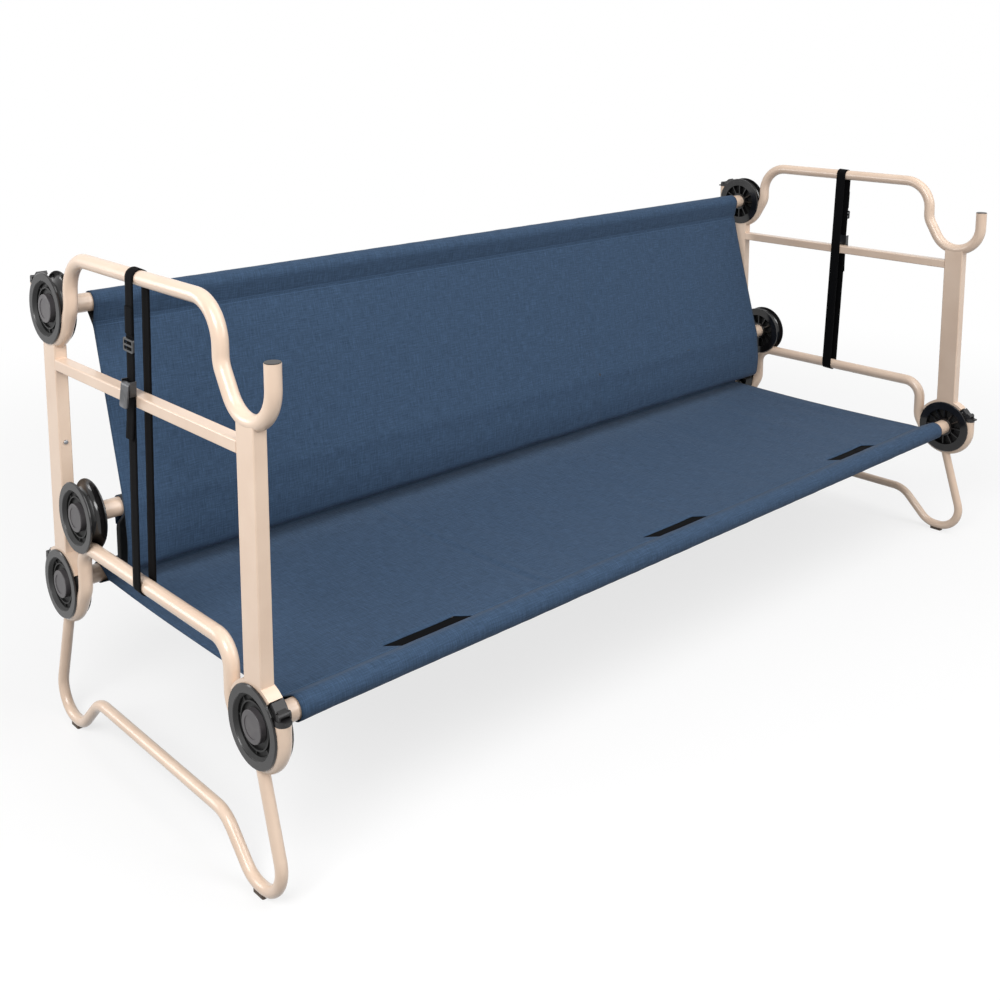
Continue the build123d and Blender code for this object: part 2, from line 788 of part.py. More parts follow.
def clip_block(cradle, pivot):
    """Face of a clip's block over the disc's edge, by (distance outwards, height)."""
    inner = disc_radius + clip_play
    outer = inner + clip_pad_thickness
    low = cradle.tip_rise + cradle.collar + small_play
    far = math.asin(2 * low / (inner + outer)) + math.radians(clip_pad_arc_deg)
    ring = Circle(outer) - Circle(inner)
    edge = (outer / math.tan(far), outer)
    wedge = make_face(Polyline((0, 0), (2 * outer, 0), (2 * outer, outer), edge, close=True))
    wide = pivot[0] - clip_ear_radius - small_play
    room = Pos(wide / 2, low + outer / 2) * Rectangle(wide, outer)
    clear = math.radians(cradle.clear_deg)
    neighbour = (saddle_outer * math.sin(clear), saddle_outer * math.cos(clear))
    swing = Pos(*pivot) * Circle(math.dist(pivot, neighbour) - small_play)
    return ring & wedge & room & swing


def safety_clip(cradle):
    """Swinging clip that closes the cradle over the disc's edge, with its neck and trunnion."""
    x, y, z = clip_pivot(cradle)
    pivot = (clip_pivot_out, z - cradle.height)
    root_out = pivot[0] - clip_neck_run
    over_collar = cradle.tip_rise + cradle.collar + small_play + clip_neck_dia / 2
    over_disc = disc_radius + clip_play + clip_neck_dia / 2
    root = (root_out, max(over_collar, math.sqrt(over_disc**2 - root_out**2)))
    knuckle = Pos(*pivot) * Circle(clip_knuckle_dia / 2)
    neck = make_hull(knuckle.edges() + (Pos(*root) * Circle(clip_neck_dia / 2)).edges())
    plane = Plane(origin=(x, 0, cradle.height), x_dir=(0, 1, 0), z_dir=(1, 0, 0))
    block = extrude(plane * clip_block(cradle, pivot), clip_pad_width / 2, both=True)
    body = block + extrude(plane * neck, clip_ear_gap / 2 - small_play, both=True)
    if cradle.side < 0:
        body = mirror(body, Plane.XZ)
    body = Pos(0, cradle.side * rail_y, 0) * body
    return body + round_x(x, y, z, clip_pin_dia, clip_ear_gap + 2 * clip_ear)


def build_nodes():
    """All nodes by name, each a list of its separate solids."""
    nodes = {}
    for end_name, end in ends.items():
        nodes[f"lower_frame_{end_name}"] = [lower_frame(end)]
        nodes[f"leg_hoop_{end_name}"] = [leg_hoop(end)]
        nodes[f"upper_frame_{end_name}"] = [upper_frame(end)]
        nodes[f"crossbar_{end_name}"] = [crossbar(end)]
        nodes[f"post_saddles_{end_name}"] = [saddle(end, side) for side in sides.values()]
        nodes[f"strap_{end_name}"] = [strap(end)]
        nodes[f"buckle_lever_{end_name}"] = [cam_lever(end)]
        for side_name, side in sides.items():
            place = f"{side_name}_{end_name}"
            nodes[f"lower_post_{place}"] = [lower_post(end, side)]
            nodes[f"upper_post_{place}"] = [upper_post(end, side)]
            nodes[f"snap_button_{place}"] = [snap_button(end, side)]
    pairs = [(end, side) for end in ends.values() for side in sides.values()]
    cradles = clip_cradles()
    for clip_name, cradle in cradles.items():
        nodes[f"safety_clip_{clip_name}"] = [safety_clip(cradle)]
    nodes["foot_pads"] = foot_pads()
    nodes["post_spigots"] = [spigot(*pair) for pair in pairs]
    nodes["button_springs"] = [button_leaf(*pair) for pair in pairs]
    nodes["clip_sockets"] = [clip_socket(cradle) for cradle in cradles.values()]
    nodes["buckle_bodies"] = [cam_buckle(end) for end in ends.values()]
    nodes["strap_sliders"] = [strap_slider(end) for end in ends.values()]
    nodes["seat_deck"] = [seat_deck()]
    nodes["seat_webbing"] = seat_webbing()
    nodes["backrest_deck"] = [backrest_deck()]
    one_disc = disc()
    one_cap = hub_cap()
    one_bolt = hub_bolt()
    for rail_name, (y, z) in RAILS.items():
        nodes[f"{rail_name}_rail"] = [rail(y, z)]
        for piece, shape in (("discs", one_disc), ("hub_caps", one_cap), ("hub_bolts", one_bolt)):
            nodes[f"{rail_name}_{piece}"] = [at_end(shape, end, y, z) for end in ends.values()]
    return nodes


def write_node(name, shapes):
    """Writes one node's solids to its STEP file."""
    solids = [solid for shape in shapes for solid in shape.solids()]
    export_step(Compound(children=solids, label=name), f"parts/{name}.step")
    print(name, len(solids))


os.makedirs("parts", exist_ok=True)
for node_name, node_shapes in build_nodes().items():
    write_node(node_name, node_shapes)
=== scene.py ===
import logging
import math
from dataclasses import dataclass
from enum import Enum
from typing import Callable, Sequence

import bmesh
import bpy
from mathutils import Matrix, Vector, noise


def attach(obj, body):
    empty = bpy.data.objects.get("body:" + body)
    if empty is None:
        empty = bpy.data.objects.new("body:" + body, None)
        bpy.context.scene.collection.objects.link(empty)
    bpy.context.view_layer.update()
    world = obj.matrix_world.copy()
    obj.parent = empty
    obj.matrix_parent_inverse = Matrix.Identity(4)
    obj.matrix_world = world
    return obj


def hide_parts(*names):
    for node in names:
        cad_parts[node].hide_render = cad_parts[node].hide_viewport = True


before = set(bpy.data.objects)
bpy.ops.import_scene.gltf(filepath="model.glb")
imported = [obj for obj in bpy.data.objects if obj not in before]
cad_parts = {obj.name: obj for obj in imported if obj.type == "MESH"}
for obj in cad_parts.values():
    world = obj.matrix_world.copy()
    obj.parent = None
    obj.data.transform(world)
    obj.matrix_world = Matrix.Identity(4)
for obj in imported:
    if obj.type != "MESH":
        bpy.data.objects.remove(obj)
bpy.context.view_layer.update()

LOG = logging.getLogger("bench_cot")
MM = 0.001
ROOT = "end_frames_and_decks"
Point = tuple[float, float]
Spot = tuple[float, float, float]
Colour = tuple[float, float, float, float]
Tree = bpy.types.NodeTree
Node = bpy.types.Node
Socket = bpy.types.NodeSocket
Outputs = bpy.types.NodeOutputs
Piece = bpy.types.Object
BMesh = bmesh.types.BMesh


class End(Enum):
    """The two ends of the cot, by the sign of X."""

    LEFT = -1
    RIGHT = 1

    @property
    def word(self) -> str:
        """The end's name as the CAD nodes spell it."""
        return self.name.lower()


@dataclass(frozen=True)
class Layout:
    """Places that the sheets and straps share with the frame, in metres."""

    end_x: float = 1.034
    rail_y: float = 0.325
    seat_z: float = 0.282
    rail_radius: float = 0.0175
    bar_radius: float = 0.0127
    top_bar_z: float = 0.904
    low_bar_z: float = 0.380


LAYOUT = Layout()
RAIL_PLACES = {
    "seat_front": (-LAYOUT.rail_y, LAYOUT.seat_z),
    "seat_back": (LAYOUT.rail_y, LAYOUT.seat_z),
    "backrest_top": (LAYOUT.rail_y, 0.802),
    "backrest_low": (0.24545, 0.4337),
}


# Materials


def linear(colour: str) -> Colour:
    """Turns an sRGB hex colour into linear red, green, blue and alpha.

    Args:
        colour: the colour as "#RRGGBB".

    Returns:
        The four linear values.
    """
    parts = [int(colour[i : i + 2], 16) / 255 for i in (1, 3, 5)]
    made = [p / 12.92 if p <= 0.04045 else ((p + 0.055) / 1.055) ** 2.4 for p in parts]
    return (made[0], made[1], made[2], 1.0)


def feed(tree: Tree, node: Node, inputs: dict) -> None:
    """Sets a node's inputs.

    Args:
        tree: the node tree.
        node: the node.
        inputs: input name or number to a value, or to the socket that feeds it.
    """
    for key, value in inputs.items():
        if isinstance(value, Socket):
            tree.links.new(value, node.inputs[key])
        else:
            node.inputs[key].default_value = value


def add_node(
    tree: Tree,
    kind: str,
    inputs: dict | None = None,
    stops: Sequence[tuple[float, str]] = (),
    **settings: str,
) -> Outputs:
    """Adds a node with its settings and links.

    Args:
        tree: the node tree that gets it.
        kind: the node's type name, after ShaderNode.
        inputs: input name or number to a value, or to the socket that feeds it.
        stops: place and sRGB hex colour of each stop, where it has a colour ramp.
        settings: its other settings by name.

    Returns:
        The new node's outputs.
    """
    node = tree.nodes.new(f"ShaderNode{kind}")
    for key, value in settings.items():
        setattr(node, key, value)
    feed(tree, node, inputs or {})
    for number, (place, colour) in enumerate(stops):
        points = node.color_ramp.elements
        point = points[number] if number < len(points) else points.new(place)
        point.position = place
        point.color = linear(colour)
    return node.outputs


@dataclass(frozen=True)
class Finish:
    """A finish that is built once and handed out by name.

    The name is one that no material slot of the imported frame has.
    """

    name: str = "finish"

    def dress(self, tree: Tree, shader: Node) -> None:
        """Adds the finish's nodes to the shader.

        Args:
            tree: the material's node tree.
            shader: its Principled BSDF.
        """
        raise NotImplementedError

    def material(self) -> bpy.types.Material:
        """The finish's material, built on first use."""
        found = bpy.data.materials.get(self.name)
        if found:
            return found
        made = bpy.data.materials.new(self.name)
        made.use_nodes = True
        self.dress(made.node_tree, made.node_tree.nodes["Principled BSDF"])
        return made


@dataclass(frozen=True)
class PowderCoat(Finish):
    """Polyester powder coat baked on steel tube: an even satin skin with a fine orange peel."""

    name: str = "powder_coat"
    colour: str = "#E1C9B4"
    shade: str = "#D9BFA9"
    scuff: str = "#C2A58A"
    peel_mm: float = 2.2
    peel_depth_mm: float = 0.25
    fleck_mm: float = 9.0
    cloud_mm: float = 90.0
    roughness: float = 0.3
    coat: float = 0.35
    coat_roughness: float = 0.14

    def dress(self, tree: Tree, shader: Node) -> None:
        """Clouded tint, thin scuffs and orange peel in the object's own space."""
        place = add_node(tree, "TexCoord")["Object"]
        cloud, fleck, peel = (
            add_node(tree, "TexNoise", {"Vector": place, "Scale": 1 / (size * MM), **more})["Fac"]
            for size, more in (
                (self.cloud_mm, {"Detail": 3.0}),
                (self.fleck_mm, {"Detail": 6.0, "Roughness": 0.7}),
                (self.peel_mm, {"Detail": 2.0}),
            )
        )
        tint = add_node(
            tree, "ValToRGB", {"Fac": cloud}, [(0.3, self.shade), (0.7, self.colour)]
        )["Color"]
        mark = add_node(tree, "MapRange", {
            "Value": fleck, "From Min": 0.70, "From Max": 0.80, "To Max": 0.55,
        })["Result"]
        feed(tree, shader, {
            "Base Color": add_node(
                tree, "Mix", {0: mark, 6: tint, 7: linear(self.scuff)}, data_type="RGBA"
            )[2],
            "Roughness": add_node(tree, "MapRange", {
                "Value": cloud, "To Min": self.roughness - 0.06, "To Max": self.roughness + 0.08,
            })["Result"],
            "Normal": add_node(tree, "Bump", {
                "Height": peel, "Strength": 0.18, "Distance": self.peel_depth_mm * MM,
            })["Normal"],
            "Coat Weight": self.coat,
            "Coat Roughness": self.coat_roughness,
        })


@dataclass(frozen=True)
class WovenPolyester(Finish):
    """Solution-dyed 600 denier polyester, plain woven: a dry matt face with faint slubs.

    Its threads are drawn at 1.3 mm, about twice the real pitch, so that they show.
    """

    name: str = "navy_polyester"
    dark: str = "#2B3E54"
    colour: str = "#374C65"
    light: str = "#425A77"
    thread_mm: float = 1.3
    thread_depth_mm: float = 0.3
    slub_mm: float = 30.0
    slub_stretch: float = 14.0
    stitch_rows: tuple[float, ...] = ()
    stitch_mm: float = 3.5
    stitch_share: float = 0.75
    thread_width_mm: float = 0.7
    sheen: float = 0.04
    specular: float = 0.2

    def dress(self, tree: Tree, shader: Node) -> None:
        """Warp and weft on the sheet's own map, with slubs along both and the sewn rows."""
        place = add_node(tree, "UVMap", uv_map="weave")["UV"]
        warp, weft = (
            add_node(tree, "TexWave", {
                "Vector": place, "Scale": math.pi / (10 * self.thread_mm * MM),
                "Distortion": 0.6, "Detail": 1.0, "Detail Scale": 0.5,
            }, bands_direction=axis)["Fac"]
            for axis in ("X", "Y")
        )
        weave = add_node(tree, "Math", {0: warp, 1: weft}, operation="MAXIMUM")[0]
        streaks = []
        for stretch in ((1.0, self.slub_stretch, 1.0), (self.slub_stretch, 1.0, 1.0)):
            drawn = add_node(tree, "VectorMath", {0: place, 1: stretch}, operation="MULTIPLY")[0]
            streaks.append(add_node(tree, "TexNoise", {
                "Vector": drawn, "Scale": 1 / (self.slub_mm * MM), "Detail": 5.0,
                "Roughness": 0.65,
            })["Fac"])
        both = add_node(tree, "Math", dict(enumerate(streaks)), operation="ADD")[0]
        slub = add_node(tree, "Math", {0: both, 1: 0.5}, operation="MULTIPLY")[0]
        tint = add_node(
            tree, "ValToRGB", {"Fac": slub},
            [(0.39, self.dark), (0.5, self.colour), (0.61, self.light)],
        )["Color"]
        face = add_node(
            tree, "Mix", {0: weave, 6: linear(self.dark), 7: tint}, data_type="RGBA"
        )[2]
        height = weave
        if self.stitch_rows:
            sewn = self.stitches(tree, place)
            face = add_node(
                tree, "Mix", {0: sewn, 6: face, 7: linear(self.light)}, data_type="RGBA"
            )[2]
            height = add_node(tree, "Math", {0: weave, 1: sewn}, operation="ADD")[0]
        feed(tree, shader, {
            "Base Color": face,
            "Roughness": add_node(
                tree, "MapRange", {"Value": slub, "To Min": 0.95, "To Max": 0.7}
            )["Result"],
            "Normal": add_node(tree, "Bump", {
                "Height": height, "Strength": 0.35, "Distance": self.thread_depth_mm * MM,
            })["Normal"],
            "Sheen Weight": self.sheen,
            "Sheen Roughness": 0.5,
            "Specular IOR Level": self.specular,
        })

    def stitches(self, tree: Tree, place: Socket) -> Socket:
        """Dashed thread along each sewn row.

        Args:
            tree: the node tree.
            place: the sheet's map, in metres.

        Returns:
            A mask that is 1 on the thread.
        """
        parts = add_node(tree, "SeparateXYZ", {"Vector": place})
        width, total = self.thread_width_mm * MM, None
        for row in self.stitch_rows:
            on_row = add_node(
                tree, "Math", {0: parts["Y"], 1: row, 2: width}, operation="COMPARE"
            )[0]
            total = on_row if total is None else add_node(
                tree, "Math", {0: total, 1: on_row}, operation="ADD"
            )[0]
        along = add_node(
            tree, "Math", {0: parts["X"], 1: self.stitch_mm * MM}, operation="DIVIDE"
        )[0]
        dash = add_node(tree, "Math", {0: along}, operation="FRACT")[0]
        drawn = add_node(tree, "Math", {0: dash, 1: self.stitch_share}, operation="LESS_THAN")[0]
        return add_node(tree, "Math", {0: total, 1: drawn}, operation="MULTIPLY")[0]


@dataclass(frozen=True)
class CoatedBack(Finish):
    """Polyurethane coating on the cloth's back: black, slightly waxy, the weave showing through."""

    name: str = "coated_cloth_back"
    colour: str = "#15171B"
    worn: str = "#202329"
    cloud_mm: float = 45.0
    thread_mm: float = 1.3
    thread_depth_mm: float = 0.2
    roughness: float = 0.55

    def dress(self, tree: Tree, shader: Node) -> None:
        """A clouded coating over a soft weave."""
        place = add_node(tree, "UVMap", uv_map="weave")["UV"]
        cloud = add_node(tree, "TexNoise", {
            "Vector": place, "Scale": 1 / (self.cloud_mm * MM), "Detail": 4.0,
        })["Fac"]
        weave = add_node(tree, "TexWave", {
            "Vector": place, "Scale": math.pi / (10 * self.thread_mm * MM), "Distortion": 0.5,
        }, bands_direction="Y")["Fac"]
        feed(tree, shader, {
            "Base Color": add_node(
                tree, "ValToRGB", {"Fac": cloud}, [(0.35, self.colour), (0.7, self.worn)]
            )["Color"],
            "Normal": add_node(tree, "Bump", {
                "Height": weave, "Strength": 0.2, "Distance": self.thread_depth_mm * MM,
            })["Normal"],
            "Roughness": self.roughness,
        })


@dataclass(frozen=True)
class RibbedWebbing(Finish):
    """Woven polypropylene webbing: ribs across the strap and hardly any gloss."""

    name: str = "ribbed_polypropylene_webbing"
    colour: str = "#040405"
    light: str = "#0C0C0E"
    rib_mm: float = 1.8
    rib_depth_mm: float = 0.4
    roughness: float = 0.85
    specular: float = 0.08

    def dress(self, tree: Tree, shader: Node) -> None:
        """Ribs across the run, on the strap's own map, with fine crossing threads."""
        place = add_node(tree, "UVMap", uv_map="weave")["UV"]
        ribs, yarns = (
            add_node(tree, "TexWave", {
                "Vector": place, "Scale": math.pi / (10 * self.rib_mm * MM), "Distortion": 0.4,
            }, bands_direction=axis)["Fac"]
            for axis in ("Y", "X")
        )
        both = add_node(tree, "Math", {0: ribs, 1: yarns}, operation="MULTIPLY")[0]
        feed(tree, shader, {
            "Base Color": add_node(
                tree, "ValToRGB", {"Fac": both}, [(0.0, self.colour), (1.0, self.light)]
            )["Color"],
            "Normal": add_node(tree, "Bump", {
                "Height": both, "Strength": 0.5, "Distance": self.rib_depth_mm * MM,
            })["Normal"],
            "Roughness": self.roughness,
            "Specular IOR Level": self.specular,
        })


@dataclass(frozen=True)
class MouldedPlastic(Finish):
    """Injection-moulded nylon or ABS: clouded gloss, a faint moulding grain, rubbed spots."""

    name: str = "gloss_black_nylon"
    colour: str = "#121112"
    rubbed: str = "#1E1C1D"
    roughness: float = 0.17
    spread: float = 0.12
    cloud_mm: float = 25.0
    grain_mm: float = 1.5
    grain_depth_mm: float = 0.2
    grain: float = 0.02
    coat: float = 0.0
    ior: float = 1.5

    def dress(self, tree: Tree, shader: Node) -> None:
        """Flow marks in gloss, rubbed patches in tint and moulding grain."""
        place = add_node(tree, "TexCoord")["Object"]
        cloud = add_node(tree, "TexNoise", {
            "Vector": place, "Scale": 1 / (self.cloud_mm * MM), "Detail": 5.0, "Distortion": 0.6,
        })["Fac"]
        grain = add_node(tree, "TexNoise", {
            "Vector": place, "Scale": 1 / (self.grain_mm * MM), "Detail": 3.0,
        })["Fac"]
        low = self.roughness - self.spread / 2
        feed(tree, shader, {
            "Base Color": add_node(
                tree, "ValToRGB", {"Fac": cloud}, [(0.45, self.colour), (0.75, self.rubbed)]
            )["Color"],
            "Roughness": add_node(
                tree, "MapRange", {"Value": cloud, "To Min": low, "To Max": low + self.spread}
            )["Result"],
            "Normal": add_node(tree, "Bump", {
                "Height": grain, "Strength": self.grain, "Distance": self.grain_depth_mm * MM,
            })["Normal"],
            "IOR": self.ior,
            "Coat Weight": self.coat,
        })


@dataclass(frozen=True)
class DiscNylon(MouldedPlastic):
    """Injection-moulded nylon disc: polished rim and tread, and painted shade, near black and dull,
    in the hollow of its face.
    """

    centre: Point = (0.0, 0.0)
    recess_radius: float = 0.0500
    recess_edge: float = 0.0008
    # Near black colour painted into the hollow of the outer face as shade.
    hollow_painted_shade: str = "#050505"
    dull: float = 0.6

    def dress(self, tree: Tree, shader: Node) -> None:
        """The moulded skin, then painted shade, near black and dull, in the hollow inside the rim
        of the outer face.
        """
        super().dress(tree, shader)
        place = add_node(tree, "TexCoord")["Object"]
        flat = add_node(tree, "VectorMath", {0: place, 1: (0, 1, 1)}, operation="MULTIPLY")[0]
        far = add_node(
            tree, "VectorMath", {0: flat, 1: (0, *self.centre)}, operation="DISTANCE"
        )["Value"]
        # Mask of the painted shade: 1 inside the rim's radius, on the outer face only.
        inside = add_node(tree, "MapRange", {
            "Value": far, "From Min": self.recess_radius - self.recess_edge,
            "From Max": self.recess_radius, "To Min": 1.0, "To Max": 0.0,
        })["Result"]
        across = add_node(tree, "SeparateXYZ", {"Vector": place})["X"]
        size = add_node(tree, "Math", {0: across}, operation="ABSOLUTE")[0]
        outer = add_node(tree, "Math", {0: size, 1: LAYOUT.end_x}, operation="GREATER_THAN")[0]
        share = add_node(tree, "Math", {0: inside, 1: outer}, operation="MULTIPLY")[0]
        skin = shader.inputs["Base Color"].links[0].from_socket
        gloss = shader.inputs["Roughness"].links[0].from_socket
        # Mixes the painted shade into the base colour and dulls the gloss under it.
        feed(tree, shader, {
            "Base Color": add_node(
                tree, "Mix", {0: share, 6: skin, 7: linear(self.hollow_painted_shade)}, data_type="RGBA"
            )[2],
            "Roughness": add_node(tree, "Mix", {0: share, 2: gloss, 3: self.dull})[0],
        })


@dataclass(frozen=True)
class ZincSteel(Finish):
    """Bright zinc plating on pressed steel: a spangled tone and an uneven gloss."""

    name: str = "zinc_plated_steel"
    colour: str = "#B9BBBD"
    dull: str = "#96989B"
    spangle_mm: float = 6.0
    roughness: float = 0.34

    def dress(self, tree: Tree, shader: Node) -> None:
        """Spangle in tint and gloss."""
        spangle = add_node(tree, "TexNoise", {
            "Vector": add_node(tree, "TexCoord")["Object"],
            "Scale": 1 / (self.spangle_mm * MM), "Detail": 4.0,
        })["Fac"]
        feed(tree, shader, {
            "Base Color": add_node(
                tree, "ValToRGB", {"Fac": spangle}, [(0.3, self.dull), (0.7, self.colour)]
            )["Color"],
            "Roughness": add_node(tree, "MapRange", {
                "Value": spangle,
                "To Min": self.roughness - 0.08, "To Max": self.roughness + 0.12,
            })["Result"],
            "Metallic": 1.0,
        })


@dataclass(frozen=True)
class MouldedRubber(Finish):
    """Moulded brown rubber: dull, dusty and softly pitted."""

    name: str = "moulded_rubber"
    colour: str = "#453B34"
    dust: str = "#665A4F"
    pit_mm: float = 3.0
    pit_depth_mm: float = 0.4
    roughness: float = 0.8

    def dress(self, tree: Tree, shader: Node) -> None:
        """Dust in the tint and pits in the bump."""
        pits = add_node(tree, "TexNoise", {
            "Vector": add_node(tree, "TexCoord")["Object"],
            "Scale": 1 / (self.pit_mm * MM), "Detail": 6.0,
        })["Fac"]
        feed(tree, shader, {
            "Base Color": add_node(
                tree, "ValToRGB", {"Fac": pits}, [(0.4, self.colour), (0.8, self.dust)]
            )["Color"],
            "Normal": add_node(tree, "Bump", {
                "Height": pits, "Strength": 0.3, "Distance": self.pit_depth_mm * MM,
            })["Normal"],
            "Roughness": self.roughness,
        })


POWDER_COAT = PowderCoat()
WEBBING = RibbedWebbing()
# One disc finish per rail, each centred on its rail so the painted shade sits in the hollow of that
# disc's face.
DISC_NYLON = {
    rail: DiscNylon(name=f"gloss_black_nylon_{rail}", centre=place)
    for rail, place in RAIL_PLACES.items()
}
CAP_ABS = MouldedPlastic(
    name="grey_abs_cap", colour="#464345", rubbed="#524F50", roughness=0.4, grain=0.06
)
CLIP_NYLON = MouldedPlastic(name="black_nylon_clip", roughness=0.42, grain=0.12)
BLACK_STEEL = MouldedPlastic(
    name="black_painted_buckle_steel", colour="#101113", rubbed="#2A2B2E", roughness=0.36, coat=0.2
)
LEVER_ALLOY = MouldedPlastic(
    name="grey_cast_lever", colour="#2E2F32", rubbed="#606165", roughness=0.34
)
ZINC = ZincSteel()
RUBBER = MouldedRubber()
CLOTH_BACK = CoatedBack()


# Shaping


def arc(centre: Point, radius: float, start: float, stop: float, steps: int) -> list[Point]:
    """Points of an arc in the YZ plane.

    Args:
        centre: its centre as (y, z).
        radius: its radius.
        start: first angle, in degrees from +Y towards +Z.
        stop: last angle.
        steps: number of steps between them.

    Returns:
        steps + 1 points.
    """
    made = []
    for step in range(steps + 1):
        turn = math.radians(start + (stop - start) * step / steps)
        made.append((centre[0] + radius * math.cos(turn), centre[1] + radius * math.sin(turn)))
    return made


def run(a: Point, b: Point, steps: int) -> list[Point]:
    """Points of a straight run, without its first point.

    Args:
        a: where the run starts.
        b: where it ends.
        steps: number of steps.

    Returns:
        steps points, the last of them b.
    """
    return [
        (a[0] + (b[0] - a[0]) * k / steps, a[1] + (b[1] - a[1]) * k / steps)
        for k in range(1, steps + 1)
    ]


def lengths(points: Sequence[Point]) -> list[float]:
    """Distance along a line of points.

    Args:
        points: the line.

    Returns:
        The distance of each point.
    """
    made = [0.0]
    for a, b in zip(points, points[1:]):
        made.append(made[-1] + math.dist(a, b))
    return made


def row_normals(points: Sequence[Point], flip: float) -> list[Point]:
    """Unit normal of a line of points at each point.

    Args:
        points: the line.
        flip: 1 or -1, which side the normals point to.

    Returns:
        One unit vector for each point.
    """
    made = []
    last = len(points) - 1
    for k in range(len(points)):
        a, b = points[max(k - 1, 0)], points[min(k + 1, last)]
        size = math.dist(a, b) or 1.0
        made.append((-flip * (b[1] - a[1]) / size, flip * (b[0] - a[0]) / size))
    return made


def wave(x: float, y: float, z: float = 0.0) -> float:
    """Smooth noise from -1 to 1, the same on every run."""
    return noise.noise(Vector((x, y, z)))


def hump(value: float, middle: float, width: float) -> float:
    """Bell curve that is 1 at middle and falls to about a third at width."""
    return math.exp(-(((value - middle) / width) ** 2))


def step_up(value: float, low: float, high: float) -> float:
    """Smooth rise from 0 at low to 1 at high."""
    share = min(max((value - low) / (high - low), 0.0), 1.0)
    return share * share * (3 - 2 * share)


@dataclass(frozen=True)
class Ripple:
    """One layer of smooth unevenness, with its clouds per metre both ways."""

    height_mm: float
    along: float
    across: float
    seed: float

    def at(self, x: float, s: float) -> float:
        """Its height at x and s, in metres."""
        return self.height_mm * MM * wave(x * self.along, s * self.across, self.seed)


@dataclass(frozen=True)
class Crease:
    """A wandering fold line across the cloth at about one x."""

    height_mm: float
    x: float
    width: float
    drift: float
    per_metre: float
    seed: float

    def at(self, x: float, s: float) -> float:
        """Its height at x and s, in metres."""
        middle = self.x + self.drift * wave(s * self.per_metre, self.seed)
        return self.height_mm * MM * hump(x, middle, self.width)


def show(name: str, data: bpy.types.ID) -> Piece:
    """Puts a new object with this data in the scene."""
    piece = bpy.data.objects.new(name, data)
    bpy.context.scene.collection.objects.link(piece)
    return piece


def new_piece(
    name: str, shape: BMesh, finishes: Sequence[Finish], smooth: bool = True
) -> Piece:
    """Makes an object from a bmesh and gives it its finishes.

    Args:
        name: the piece's name.
        shape: its bmesh, which is freed.
        finishes: finishes for its material slots.
        smooth: whether its faces are smooth shaded.

    Returns:
        The new object.
    """
    mesh = bpy.data.meshes.new(name)
    for face in shape.faces:
        face.smooth = smooth
    shape.to_mesh(mesh)
    shape.free()
    for finish in finishes:
        mesh.materials.append(finish.material())
    return show(name, mesh)


def cloth_grid(
    rows: int,
    columns: int,
    place: Callable[[int, int], Vector],
    spot: Callable[[int, int], Point],
    keep: Callable[[int, int], bool] | None = None,
) -> BMesh:
    """A flat grid carried to its shape row by row, with its weave map.

    Args:
        rows: number of rows of points.
        columns: number of columns of points.
        place: where the point of a row and column goes.
        spot: its place on the weave map, in metres.
        keep: whether the face that starts at a row and column stays.

    Returns:
        The shaped bmesh.
    """
    shape = bmesh.new()
    bmesh.ops.create_grid(shape, x_segments=columns - 1, y_segments=rows - 1, size=1.0)
    cells = {}
    for vert in shape.verts:
        column = round((vert.co.x + 1) / 2 * (columns - 1))
        row = round((vert.co.y + 1) / 2 * (rows - 1))
        cells[vert] = (row, column)
    weave = shape.loops.layers.uv.new("weave")
    for face in shape.faces:
        for loop in face.loops:
            loop[weave].uv = spot(*cells[loop.vert])
    if keep:
        starts = {face: min(cells[vert] for vert in face.verts) for face in shape.faces}
        gone = [face for face, start in starts.items() if not keep(*start)]
        bmesh.ops.delete(shape, geom=gone, context="FACES")
    for vert in shape.verts:
        vert.co = place(*cells[vert])
    return shape


def add_part(shape: BMesh, part: BMesh) -> None:
    """Moves a bmesh into another.

    Args:
        shape: the bmesh that gets it.
        part: the bmesh that is moved, which is freed.
    """
    mesh = bpy.data.meshes.new("part")
    part.to_mesh(mesh)
    part.free()
    shape.from_mesh(mesh)
    bpy.data.meshes.remove(mesh)


def thicken(piece: Piece, thickness: float, back: int = 0) -> None:
    """Gives a sheet its thickness, half of it on each side.

    Args:
        piece: the sheet.
        thickness: in metres.
        back: how many slots further the back's finish is.
    """
    shell = piece.modifiers.new("cloth", "SOLIDIFY")
    shell.thickness = thickness
    shell.offset = 0.0
    shell.material_offset = back


def columns_between(ends: float, pitch: float, marks: Sequence[float] = ()) -> list[float]:
    """Columns from -ends to ends with a column on each mark.

    Args:
        ends: half the length.
        pitch: the widest step.
        marks: places that get a column.

    Returns:
        The columns in order.
    """
    stops = sorted({-ends, ends, *marks})
    made = [stops[0]]
    for a, b in zip(stops, stops[1:]):
        steps = max(1, math.ceil((b - a) / pitch))
        made += [a + (b - a) * k / steps for k in range(1, steps + 1)]
    return made


# Decks


